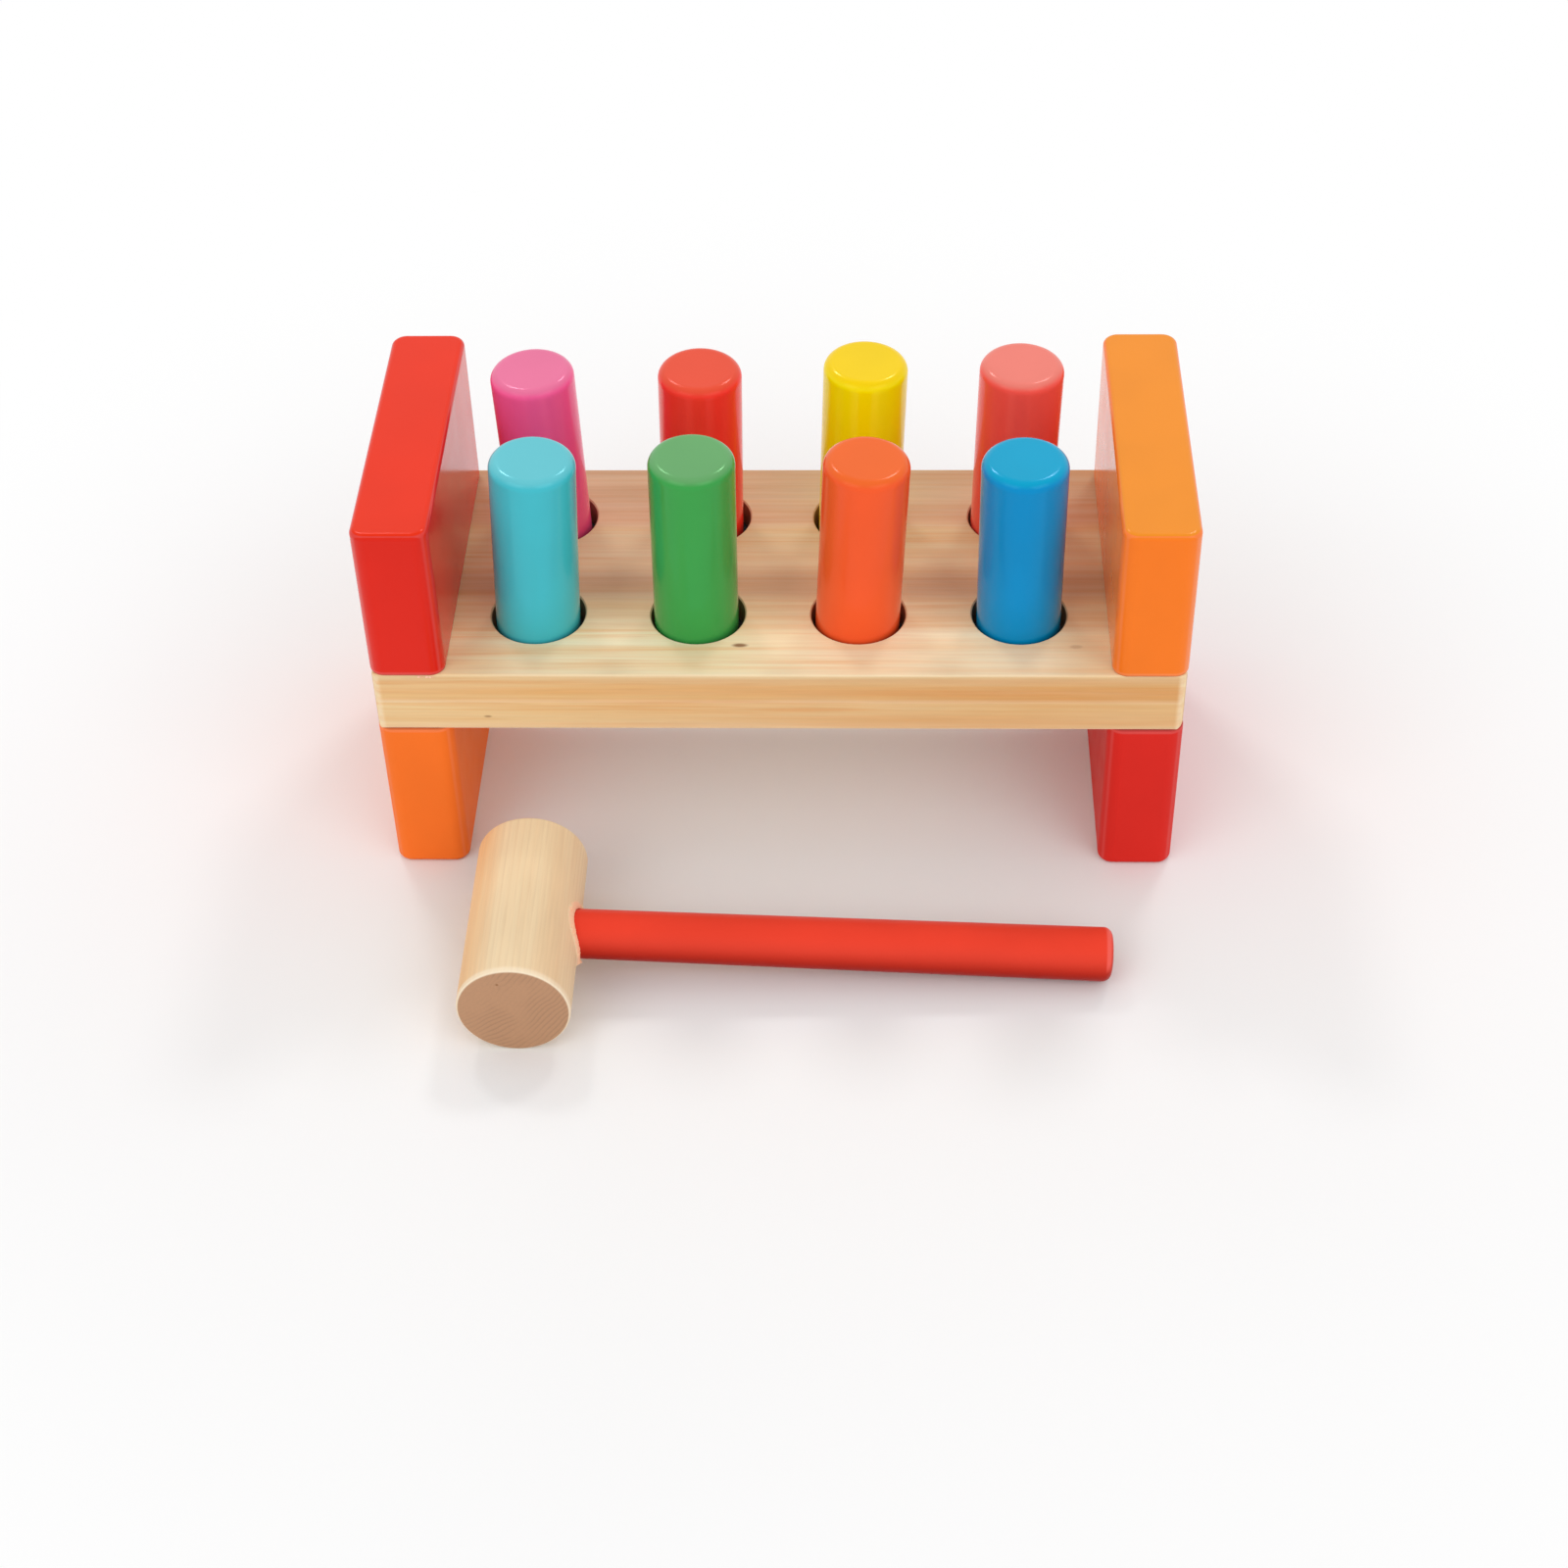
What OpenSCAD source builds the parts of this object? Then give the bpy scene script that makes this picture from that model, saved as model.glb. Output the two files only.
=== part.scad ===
// Peg pounding bench with its mallet, for pounding eight pegs through a two-board deck.
// Origin: on the floor, in the middle of the box round bench and mallet.
// X runs along the bench, Y from the mallet's side to the back, Z up.

/* [Deck] */
// Length of the deck, end to end
deck_l = 240; // [220:1:300]
// Depth of the deck, front to back
deck_w = 102; // [95:1:130]
// Thickness of the upper board of the deck
upper_board_t = 10.5; // [8:0.1:16]
// Thickness of the lower board of the deck
lower_board_t = 10.5; // [8:0.1:16]
// Radius of the deck's four upright corners
deck_corner_r = 2.5; // [1:0.1:5]
// Radius along the deck's long edges
deck_edge_r = 0.9; // [0.3:0.1:2]
// Radius across the underside of the deck's left end
deck_left_r = 1.5; // [0.5:0.1:5]
// Radius across the underside of the deck's right end, sanded rounder
deck_right_r = 3.4; // [0.5:0.1:5]

/* [End blocks] */
// Thickness of an end block along the bench
block_t = 22.5; // [16:0.1:26]
// Height of the two blocks that stand on the deck
upper_block_h = 51.5; // [35:0.5:70]
// Height of the two blocks under the deck
lower_block_h = 55.4; // [40:0.1:70]
// Radius of a block's level edges
block_edge_r = 1.8; // [0.5:0.1:4]
// How much larger the radius of its upright edges is
block_upright_extra_r = 2.8; // [0.5:0.1:3.5]
// Share of the level edges' radius planed off where a block meets the deck
block_planed_share = 0.5; // [0:0.05:0.9]
// How far a block stands out past the end of the deck
block_end_proud = 0.5; // [0:0.1:1]
// How far a block stands out past the deck's front and back faces
block_face_proud = 0.2; // [0:0.1:1]

/* [Peg holes] */
// Diameter of the holes in the deck
hole_d = 28.4; // [27:0.1:30]
// From the blocks' inner faces to the middle of the first and last holes
hole_end_gap = 25.75; // [24:0.05:30]
// How far the whole pattern sits left of the deck's middle
hole_shift = 0.5; // [0:0.1:1.5]
// From the deck's front face to the middle of the front row
hole_front_gap = 29; // [22:0.1:30]
// From the deck's back face to the middle of the back row
hole_back_gap = 25.2; // [22:0.1:30]
// Chamfer round the mouth of each hole
hole_chamfer = 0.4; // [0.2:0.1:1]

/* [Pegs] */
// Diameter of a peg
peg_d = 25.3; // [24:0.1:26]
// Radius round both ends of a peg
peg_round = 3; // [0.5:0.1:4]
// Gap that a peg pounded flush leaves above the table
peg_floor_gap = 1; // [0.5:0.1:3]
// How far the fullest seated peg reaches past its grip ring
peg_past_ring = 3.2; // [1:0.1:5]

/* [Grip rings] */
// Thickness of the rubber cord of a grip ring
ring_cord_d = 4.4; // [3:0.1:6]
// How much the two boards flatten the cord
ring_squeeze = 0.4; // [0.2:0.1:0.8]
// Clearance between a peg and its ring
ring_fit = 0.08; // [0.06:0.01:0.1]
// Room left round a ring in its groove
ring_room = 0.3; // [0.2:0.1:1]
// Least wood between the grooves of neighbouring holes
groove_wall = 2; // [1:0.1:4]

/* [Dowels] */
// Diameter of the dowels that join blocks and deck
dowel_d = 8; // [6:0.5:12]
// How far a dowel reaches into each block
dowel_grip = 18; // [10:1:28]
// Distance between the two dowels of one end
dowel_spacing = 60; // [40:1:70]
// Clearance round a dowel, filled with glue
dowel_fit = 0.05; // [0.02:0.01:0.1]
// Room past each end of a dowel
dowel_end_room = 0.5; // [0.3:0.1:2]
// Chamfer on the dowels' ends
dowel_chamfer = 0.8; // [0.3:0.1:2]

/* [Mallet] */
// Diameter of the mallet's head
head_d = 33.2; // [28:0.2:40]
// Length of the mallet's head
head_l = 64; // [50:0.5:80]
// Radius round both ends of the head
head_edge_r = 1.1; // [0.5:0.1:3]
// From the head's axis to the tip of the handle
handle_reach = 174.3; // [140:0.1:195]
// Diameter of the handle where it leaves the head
handle_root_d = 14.8; // [13:0.1:17]
// Diameter of the handle near its tip
handle_tip_d = 16.2; // [14:0.1:19]
// Radius round the tip of the handle
handle_tip_r = 2.6; // [1:0.1:5]
// Diameter of the tenon inside the head
tenon_d = 14.6; // [12:0.1:16]
// Clearance round the tenon, filled with glue
tenon_fit = 0.05; // [0.02:0.01:0.1]
// How far the tenon's bore goes past the head's axis
bore_past_axis = 9.6; // [4:0.1:11]
// Room between the tenon's end and the floor of its bore
bore_floor_room = 0.4; // [0.3:0.1:1]
// How far left of the bench's middle the head lies
mallet_offset = 75.2; // [60:0.1:85]
// Gap between the bench's front and the head's nearer end
mallet_gap = 14.4; // [5:0.1:60]

/* [Hidden] */
$fn = 96;

front = 0;
back = 1;
columns = 4;
// One overrun serves every cut
cut = 1;

deck_t = upper_board_t + lower_board_t;
deck_bottom_z = lower_block_h;
glue_z = deck_bottom_z + lower_board_t;
deck_top_z = deck_bottom_z + deck_t;

block_w = deck_w + 2 * block_face_proud;
block_planed = block_edge_r * block_planed_share;

// Bench and mallet together are centred on the origin
bench_y = (mallet_gap + head_l) / 2;
mallet_y = bench_y - block_w / 2 - mallet_gap - head_l / 2;
block_x = deck_l / 2 + block_end_proud - block_t / 2;

// Radial play of a peg in its hole, and the peg's length
play = (hole_d - peg_d) / 2;
peg_l = deck_t + lower_block_h - peg_floor_gap;

ring_h = ring_cord_d - ring_squeeze;
ring_bore_d = peg_d + 2 * ring_fit;
groove_d = ring_bore_d + 2 * ring_cord_d + 2 * play + 2 * ring_room;

// The gaps to the deck's edges place the holes. In a small deck the grooves need more,
// and then both gaps shrink alike.
groove_pitch = groove_d + groove_wall;
hole_pitch = max((2 * block_x - block_t - 2 * hole_end_gap) / (columns - 1), groove_pitch);
row_pitch = max(deck_w - hole_front_gap - hole_back_gap, groove_pitch);
front_gap = (deck_w - row_pitch) * hole_front_gap / (hole_front_gap + hole_back_gap);
row_y = [front_gap - deck_w / 2, front_gap + row_pitch - deck_w / 2];

dowel_bore_d = dowel_d + 2 * dowel_fit;
tenon_bore_d = tenon_d + 2 * tenon_fit;

// The handle's tip rests on the floor beside the head
handle_tilt = atan((head_d - handle_tip_d) / 2 / (handle_reach - handle_tip_r));

// Each peg stands in its hole a little off the middle and a little out of true.
// Its place at the deck's top and underside, front row then back row, left to right,
// is given in shares of the play, so that it clears the wood at any play.
top_shares = [
    [[-0.06, -0.6], [-0.32, -0.6], [-0.09, -0.6], [-0.11, -0.6]],
    [[-0.32, -0.6], [-0.5, -0.6], [0.04, -0.6], [-0.5, -0.6]]];
underside_shares = [
    [[-0.71, -0.36], [-0.52, -0.4], [-0.74, -0.38], [-0.09, -0.4]],
    [[0.03, -0.4], [-0.8, -0.38], [-0.43, -0.4], [-0.8, -0.38]]];
// How far each peg reaches past its ring, in shares of the fullest
past_ring_shares = [[0.39, 0.19, 0.43, 0.57], [1, 0.93, 0.2, 0.44]];

peg_colors = [["#46b8c6", "#44a24c", "#f4582c", "#0a8fcb"], ["#e0508a", "#e23c32", "#f9d21a", "#f0504c"]];

function hole_x(column) = (column - (columns - 1) / 2) * hole_pitch - hole_shift;
function top_at(row, column) = play * top_shares[row][column];
function underside_at(row, column) = play * underside_shares[row][column];
// Turn about X, then about Y, that lays the Z axis along a peg's own axis
function nod(row, column) =
    let (d = top_at(row, column) - underside_at(row, column))
    atan(-d[1] / norm([d[0], deck_t]));
function lean(row, column) = atan((top_at(row, column) - underside_at(row, column))[0] / deck_t);
function glue_at(row, column) =
    let (rise = lower_board_t / deck_t)
    underside_at(row, column) * (1 - rise) + top_at(row, column) * rise;
function engaged(row, column) =
    upper_board_t + ring_h / 2 + peg_round + peg_past_ring * past_ring_shares[row][column];

// Rectangle from the origin with a radius of its own at each corner, anticlockwise from the origin
module round_rect(size, radii) {
    x = size[0];
    y = size[1];
    polygon([
        [radii[0], 0], [x - radii[1], 0],
        [x, radii[1]], [x, y - radii[2]],
        [x - radii[2], y], [radii[3], y],
        [0, y - radii[3]], [0, radii[0]]]);
    translate([radii[0], radii[0]]) circle(radii[0]);
    translate([x - radii[1], radii[1]]) circle(radii[1]);
    translate([x - radii[2], y - radii[2]]) circle(radii[2]);
    translate([radii[3], y - radii[3]]) circle(radii[3]);
}

// Block centred on X and Y that stands on Z = 0, given its outlines from above, front and side
module rounded_block(size, plan_radii, front_radii, side_radii) {
    intersection() {
        translate([-size[0] / 2, -size[1] / 2, 0])
            linear_extrude(size[2]) round_rect([size[0], size[1]], plan_radii);
        translate([-size[0] / 2, size[1] / 2, 0])
            rotate([90, 0, 0]) linear_extrude(size[1]) round_rect([size[0], size[2]], front_radii);
        translate([-size[0] / 2, -size[1] / 2, 0])
            rotate([90, 0, 90]) linear_extrude(size[0]) round_rect([size[1], size[2]], side_radii);
    }
}

// Turned stick that stands on Z = 0, with a radius round each end
module rounded_stick(d, l, r) {
    rotate_extrude() {
        square([d / 2 - r, l]);
        translate([0, r]) square([d / 2, l - 2 * r]);
        translate([d / 2 - r, r]) circle(r);
        translate([d / 2 - r, l - r]) circle(r);
    }
}

// Rods along Z at the four edges of a block, from -l to l
module edge_rods(x, y, l, r) {
    for (i = [-x, x], j = [-y, y]) {
        translate([i, j, -l]) cylinder(r = r, h = 2 * l);
    }
}

// Block centred on X and Y that stands on Z = 0, with one radius round its level edges
// and a larger one round its upright edges
module softened_block(size, edge_r, upright_r) {
    straight_x = size[0] / 2 - upright_r;
    straight_y = size[1] / 2 - upright_r;
    flat = size - 2 * [edge_r, edge_r, edge_r];
    for (i = [-straight_x, straight_x], j = [-straight_y, straight_y]) {
        translate([i, j, 0]) rounded_stick(2 * upright_r, size[2], edge_r);
    }
    translate([0, 0, size[2] / 2]) {
        cube([size[0], 2 * straight_y, flat[2]], center = true);
        cube([2 * straight_x, size[1], flat[2]], center = true);
        cube([flat[0], 2 * straight_y, size[2]], center = true);
        cube([2 * straight_x, flat[1], size[2]], center = true);
        rotate([90, 0, 0]) edge_rods(flat[0] / 2, flat[2] / 2, straight_y, edge_r);
        rotate([0, 90, 0]) edge_rods(flat[2] / 2, flat[1] / 2, straight_x, edge_r);
    }
}

module at_hole(row, column) {
    translate([hole_x(column), bench_y + row_y[row], 0]) children();
}

// Lays a peg's own frame, with Z along its axis and its origin level with the deck's top
module at_peg_axis(row, column) {
    offset_at_top = top_at(row, column);
    at_hole(row, column)
        translate([offset_at_top[0], offset_at_top[1], deck_top_z])
            rotate([nod(row, column), lean(row, column), 0])
                children();
}

module deck_blank() {
    translate([0, bench_y, deck_bottom_z])
        rounded_block([deck_l, deck_w, deck_t],
            [deck_corner_r, deck_corner_r, deck_corner_r, deck_corner_r],
            [deck_left_r, deck_right_r, deck_edge_r, deck_edge_r],
            [deck_edge_r, deck_edge_r, deck_edge_r, deck_edge_r]);
}

// Slab as wide as the deck, to part the blank at the glue line
module slab(z, t) {
    translate([-deck_l, bench_y - deck_w, z]) cube([2 * deck_l, 2 * deck_w, t]);
}

module peg_holes() {
    for (row = [front, back], column = [0 : columns - 1]) {
        at_hole(row, column) {
            translate([0, 0, deck_bottom_z - cut]) cylinder(d = hole_d, h = deck_t + 2 * cut);
            translate([0, 0, glue_z - ring_h / 2]) cylinder(d = groove_d, h = ring_h);
            translate([0, 0, deck_top_z - hole_chamfer])
                cylinder(d1 = hole_d, d2 = hole_d + 2 * (hole_chamfer + cut), h = hole_chamfer + cut);
            translate([0, 0, deck_bottom_z - cut])
                cylinder(d1 = hole_d + 2 * (hole_chamfer + cut), d2 = hole_d, h = hole_chamfer + cut);
        }
    }
}

module at_dowels() {
    for (x = [-block_x, block_x], y = [-dowel_spacing / 2, dowel_spacing / 2]) {
        translate([x, bench_y + y, 0]) children();
    }
}

module dowel_bores() {
    at_dowels()
        translate([0, 0, deck_bottom_z - dowel_grip - dowel_end_room])
            cylinder(d = dowel_bore_d, h = deck_t + 2 * (dowel_grip + dowel_end_room));
}

module deck_upper_board() {
    color("#ecd0a8") difference() {
        intersection() {
            deck_blank();
            slab(glue_z, upper_board_t + cut);
        }
        peg_holes();
        dowel_bores();
    }
}

module deck_lower_board() {
    color("#e2bd88") difference() {
        intersection() {
            deck_blank();
            slab(deck_bottom_z - cut, lower_board_t + cut);
        }
        peg_holes();
        dowel_bores();
    }
}

// Block rounded all over, then planed flat where it is glued to the deck
module end_block(side, z, h, paint) {
    color(paint) difference() {
        translate([side * block_x, bench_y, z])
            softened_block([block_t, block_w, h], block_edge_r, block_edge_r + block_upright_extra_r);
        slab(deck_bottom_z, deck_t);
        dowel_bores();
    }
}

module upper_block(side, paint) {
    end_block(side, deck_top_z - block_planed, upper_block_h + block_planed, paint);
}

module lower_block(side, paint) {
    end_block(side, 0, lower_block_h + block_planed, paint);
}

module block_dowels() {
    l = deck_t + 2 * dowel_grip;
    color("#d9b98a") at_dowels() {
        translate([0, 0, deck_bottom_z - dowel_grip]) {
            cylinder(d1 = dowel_d - 2 * dowel_chamfer, d2 = dowel_d, h = dowel_chamfer);
            translate([0, 0, dowel_chamfer]) cylinder(d = dowel_d, h = l - 2 * dowel_chamfer);
            translate([0, 0, l - dowel_chamfer])
                cylinder(d1 = dowel_d, d2 = dowel_d - 2 * dowel_chamfer, h = dowel_chamfer);
        }
    }
}

// Rubber ring round a peg, flattened between the two boards at the glue line
module grip_ring(row, column) {
    offset_at_glue = glue_at(row, column);
    color("#3a3836") at_hole(row, column)
        translate([offset_at_glue[0], offset_at_glue[1], glue_z])
            rotate_extrude() intersection() {
                translate([ring_bore_d / 2 + ring_cord_d / 2, 0]) circle(d = ring_cord_d);
                translate([ring_bore_d / 2, -ring_h / 2]) square([ring_cord_d, ring_h]);
            }
}

module peg(row, column) {
    color(peg_colors[row][column]) at_peg_axis(row, column)
        translate([0, 0, -engaged(row, column)]) rounded_stick(peg_d, peg_l, peg_round);
}

// Frame of the mallet: origin on the head's axis, X along the handle
module at_mallet() {
    translate([-mallet_offset, mallet_y, head_d / 2]) rotate([0, handle_tilt, 0]) children();
}

module mallet_head() {
    color("#efd7ae") at_mallet() difference() {
        translate([0, head_l / 2, 0]) rotate([90, 0, 0]) rounded_stick(head_d, head_l, head_edge_r);
        translate([-bore_past_axis, 0, 0])
            rotate([0, 90, 0]) cylinder(d = tenon_bore_d, h = bore_past_axis + head_d / 2 + cut);
    }
}

// Half outline of the handle, along Y, with the head's axis at Y = 0
module handle_outline() {
    polygon([
        [0, bore_floor_room - bore_past_axis], [tenon_d / 2, bore_floor_room - bore_past_axis],
        [tenon_d / 2, head_d / 2], [handle_root_d / 2, head_d / 2],
        [handle_tip_d / 2, handle_reach - handle_tip_r],
        [handle_tip_d / 2 - handle_tip_r, handle_reach], [0, handle_reach]]);
    translate([handle_tip_d / 2 - handle_tip_r, handle_reach - handle_tip_r]) circle(handle_tip_r);
}

module mallet_handle() {
    color("#e23b2e") at_mallet() rotate([0, 90, 0]) rotate_extrude() handle_outline();
}

deck_upper_board();
deck_lower_board();
upper_block(-1, "#e23a2c");  // upper_block_left
upper_block(1, "#f77f2e");  // upper_block_right
lower_block(-1, "#f4762d");  // lower_block_left
lower_block(1, "#d52f28");  // lower_block_right
block_dowels();
grip_ring(front, 0);  // grip_ring_front_1
grip_ring(front, 1);  // grip_ring_front_2
grip_ring(front, 2);  // grip_ring_front_3
grip_ring(front, 3);  // grip_ring_front_4
grip_ring(back, 0);  // grip_ring_back_1
grip_ring(back, 1);  // grip_ring_back_2
grip_ring(back, 2);  // grip_ring_back_3
grip_ring(back, 3);  // grip_ring_back_4
peg(front, 0);  // peg_front_1
peg(front, 1);  // peg_front_2
peg(front, 2);  // peg_front_3
peg(front, 3);  // peg_front_4
peg(back, 0);  // peg_back_1
peg(back, 1);  // peg_back_2
peg(back, 2);  // peg_back_3
peg(back, 3);  // peg_back_4
mallet_head();
mallet_handle();
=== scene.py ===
"""Peg pounding bench with its mallet: finishes, small worn details, floor, light and camera."""

import math
import random

import bpy
from mathutils import Matrix, Vector


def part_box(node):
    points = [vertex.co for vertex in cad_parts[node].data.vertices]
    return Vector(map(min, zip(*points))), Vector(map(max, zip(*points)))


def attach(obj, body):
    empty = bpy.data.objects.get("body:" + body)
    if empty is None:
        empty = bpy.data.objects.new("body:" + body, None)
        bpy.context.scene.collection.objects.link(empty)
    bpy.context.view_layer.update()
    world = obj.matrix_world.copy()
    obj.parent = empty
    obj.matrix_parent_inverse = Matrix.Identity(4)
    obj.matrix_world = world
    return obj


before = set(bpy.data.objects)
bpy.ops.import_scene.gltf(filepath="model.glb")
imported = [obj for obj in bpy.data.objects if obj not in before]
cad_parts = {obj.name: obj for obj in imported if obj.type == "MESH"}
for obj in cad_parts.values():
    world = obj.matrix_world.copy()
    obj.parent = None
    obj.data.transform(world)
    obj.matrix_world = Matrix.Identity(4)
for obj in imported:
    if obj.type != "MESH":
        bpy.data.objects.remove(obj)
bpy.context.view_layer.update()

MM = 0.001
X, Y, Z = range(3)
WHITE = (1.0, 1.0, 1.0, 1.0)

# Lowest and highest corners of the deck and of the mallet's head
deck_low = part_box("deck_lower_board")[0]
deck_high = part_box("deck_upper_board")[1]
head_low, head_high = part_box("mallet_head")

# Camera, fitted to the outlines and holes in the photograph, with its sensor and lens in millimetres
SENSOR_WIDTH = 36.0
LENS = 63.568
CAMERA_PLACE = (0.028443, -0.629045, 0.603369)
CAMERA_PITCH = math.radians(42.695)
CAMERA_YAW = math.radians(2.534)
CAMERA_ROLL = math.radians(1.5476)
NEAREST_SEEN = 10 * MM

# Softboxes: place, size, and power in watts. All look at the same point, low in the bench
LIT_POINT = (0.0, 0.0, 0.05)
SOFTBOXES = {
    "front_left_softbox": ((-1.9, -2.2, 2.4), (2.4, 2.0), 22.4),
    "front_right_softbox": ((1.9, -2.2, 2.4), (2.4, 2.0), 22.4),
    "back_left_softbox": ((-0.75, 1.4, 2.0), (0.42, 0.32), 7.5),
    "back_right_softbox": ((0.7, 1.4, 2.0), (0.42, 0.32), 7.5),
}
# Light of the surroundings on the toy, as a share of the white that the eye sees there
AMBIENT = 0.74

# Half the floor's width, its gap under the toy, and where its grey starts and ends turning white
FLOOR_REACH = 4.0
FLOOR_GAP = 0.02 * MM
GREY_TO_WHITE = (0.17, 0.4)

# Slot, tone of the upright faces, and tone of the faces that look up. Where the two tones differ, the
# difference is painted light on one lacquer, with a painted reflection on the pegs' tops
PEGS = {
    "peg_front_1": ("turquoise_lacquer", "#45becc", "#64c1cc"),
    "peg_front_2": ("green_lacquer", "#3da14c", "#66a367"),
    "peg_front_3": ("vermilion_lacquer", "#f85d2c", "#ed6828"),
    "peg_front_4": ("blue_lacquer", "#008dca", "#009fc7"),
    "peg_back_1": ("pink_lacquer", "#fd5e9b", "#e4739a"),
    "peg_back_2": ("peg_red_lacquer", "#fd3b2e", "#e34f35"),
    "peg_back_3": ("yellow_lacquer", "#fde600", "#f0cb00"),
    "peg_back_4": ("coral_lacquer", "#fd574b", "#ea7f72"),
}
BLOCKS = {
    "upper_block_left": ("red_lacquer", "#df2617", "#e62e08"),
    "upper_block_right": ("orange_lacquer", "#fa7d21", "#ec8e23"),
    "lower_block_left": ("orange_lacquer", "#fd792c", "#fd792c"),
    "lower_block_right": ("red_lacquer", "#dd2d25", "#dd2d25"),
}
# Handle's side and top tones: its darker top is painted shade on one lacquer
HANDLE_TONES = ("#f24b38", "#ec4430")
# Painted shade on the handle's underside
HANDLE_SHADED_UNDERSIDE_TONE = "#a4190a"

# Gloss and least roughness: pegs and upper blocks shine, lower blocks and handle hardly do
SHINY = (0.4, 0.15)
DULL_BLOCK = (0.08, 0.4)
DULL_HANDLE = (0.06, 0.3)

# Tones of bare wood: early wood, late wood, streaks and end grain
UPPER_BOARD_TONES = ("#f3dab2", "#e0b483", "#f0d0a4", "#dcb483")
LOWER_BOARD_TONES = ("#efd2a6", "#ddb07c", "#ecc898", "#d8ae7c")
HEAD_TONES = ("#fde4ba", "#e0b987", "#f5d3a6", "#bd8f6c")
DOWEL_TONES = ("#ecd2a6", "#d9b483", "#e2c294", "#d2ab7c")

# Each stop is a place across a growth ring, from its inner side, and the share of late wood there
RING_PROFILE = ((0.0, 0.1), (0.5, 0.15), (0.86, 0.95), (0.98, 0.1))

# Tones of the deck's pine, and where its grain takes them, in millimetres: on the top by the
# depth from the deck's front face, and on a board's front face by the height in the board. On the
# top, the darker bands behind the rows of pegs are partly painted shadow of the pegs
CREAM = "#fdecc6"
PALE = "#f4d8af"
STRAW = "#e7cea1"
TAN = "#dab28d"
BROWN = "#cfb08b"
HONEY = "#eabf82"
WHEAT = "#edca94"
OAT = "#f2d8a6"
# Partly grain and partly painted shadow: the darker bands behind each row of pegs
TOP_GRAIN_AND_SHADOW_BANDS = [
    (0, CREAM), (19, CREAM), (23, PALE), (34, PALE), (39, TAN), (46, TAN),
    (53, PALE), (66, STRAW), (70, STRAW), (75, TAN), (88, BROWN), (102, BROWN),
]
UPPER_FRONT_BANDS = [(0, PALE), (1.3, HONEY), (6.1, HONEY), (10.5, STRAW)]
LOWER_FRONT_BANDS = [(0, PALE), (3.6, WHEAT), (10.5, OAT)]
# Tints of the front faces, by the distance to the right of the deck's middle in millimetres
FRONT_TINTS = [(-75, "#ffffff"), (0, "#fcf6f1"), (75, "#f3e2d0")]

# Other tones and tints of bare wood
NEAR_BLOCK_TINT = "#fff9ec"
THIN_LINE_TINT = "#f7d0a2"
WISP_TINT = "#f3c591"
FRONT_END_TONE = "#ffedcb"
# Painted light on the faces that look down
LIT_UNDERSIDE_TONE = "#ffefcf"
# Painted shade on the walls of the holes
HOLE_SHADE_TONE = "#7a4a2c"
KNOT_TONE = "#8a5a33"
# Painted shade tint for the head's left side, and painted highlight tone round its ends
HEAD_LEFT_SHADE_TINT = "#ffe7cd"
HEAD_RIM_HIGHLIGHT_TONE = "#f7e4c6"

# Knots and dark specks: place, reach along the grain, reach across it, and strength
TOP_KNOTS = [
    ((-11.5 * MM, 2.2 * MM, deck_high.z), 2.6 * MM, 1.0 * MM, 0.9),
    ((88.0 * MM, 1.7 * MM, deck_high.z), 2.2 * MM, 1.0 * MM, 0.25),
]
FRONT_KNOTS = [((-86.6 * MM, deck_low.y, 60.4 * MM), 1.3 * MM, 0.5 * MM, 0.6)]
HEAD_SPECKS = [((-78.9 * MM, head_low.y, 27.6 * MM), 0.6 * MM, 0.5 * MM, 0.8)]

# Plain and bloomed rubber, wood stained by lacquer and clean, and lacquer and wood of a chip
RUBBER_TONES = ("#1c1a19", "#35322f")
FIBRE_TONES = ("#ffc9a4", "#f8deb8")
CHIP_TONES = ("#ee9c84", "#ffdcc4")

# Paint chips under the upper red block: distance to the right of the middle, and size, in millimetres
CHIPS = ((-105.7, 0.5), (-104.6, 0.35), (-103.3, 0.65), (-102.4, 0.45), (-101.5, 0.35))


def linear(code):
    """Linear colour from a six-digit sRGB code."""
    channels = [int(code[i : i + 2], 16) / 255 for i in (1, 3, 5)]
    return [c / 12.92 if c <= 0.04045 else ((c + 0.055) / 1.055) ** 2.4 for c in channels] + [1.0]


def paler(colour, share):
    """Colour moved towards white by a share of the way."""
    return [c + share * (1.0 - c) for c in colour]


def by_axis(axis, value, others):
    """Three numbers, with one value along an axis and another along the other two."""
    return tuple(value if i == axis else others for i in range(3))


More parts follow.
